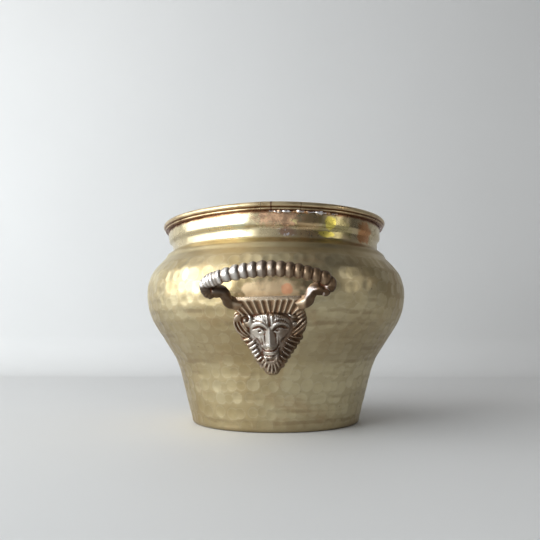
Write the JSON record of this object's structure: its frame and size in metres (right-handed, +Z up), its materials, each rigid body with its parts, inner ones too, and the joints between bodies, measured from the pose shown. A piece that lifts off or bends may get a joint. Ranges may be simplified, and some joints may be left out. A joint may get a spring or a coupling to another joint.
{
  "type": "cachepot",
  "caption": "Hammered brass cachepot with a full belly, straight neck, rolled rim and lion-mask handles with reeded bow bars.",
  "frame": {"origin": "centre of the flat bottom, on the surface the pot stands on", "axes": "+Z up along the pot's axis, -Y towards the front handle, +Y towards the rear handle"},
  "size_m": [0.2606, 0.333, 0.2],
  "materials": {
    "hammered_brass": "planished and aged, satin with polished neck",
    "rim_brass": "burnished roll, dull underside",
    "core_wire": "drawn iron wire",
    "solder": "lumpy soft solder",
    "cast_brass": "brown patina with worn bright highs",
    "rivet_brass": "tarnished, hammered heads"
  },
  "bodies": {
    "root": {"pot_body": "hammered_brass", "rim_bead": "rim_brass", "rim_wire": "core_wire", "rim_solder": "solder", "front_handle": "cast_brass", "rear_handle": "cast_brass", "front_handle_rivets": "rivet_brass", "rear_handle_rivets": "rivet_brass", "front_rivet_washers": "rivet_brass", "rear_rivet_washers": "rivet_brass"}
  },
  "joints": []
}
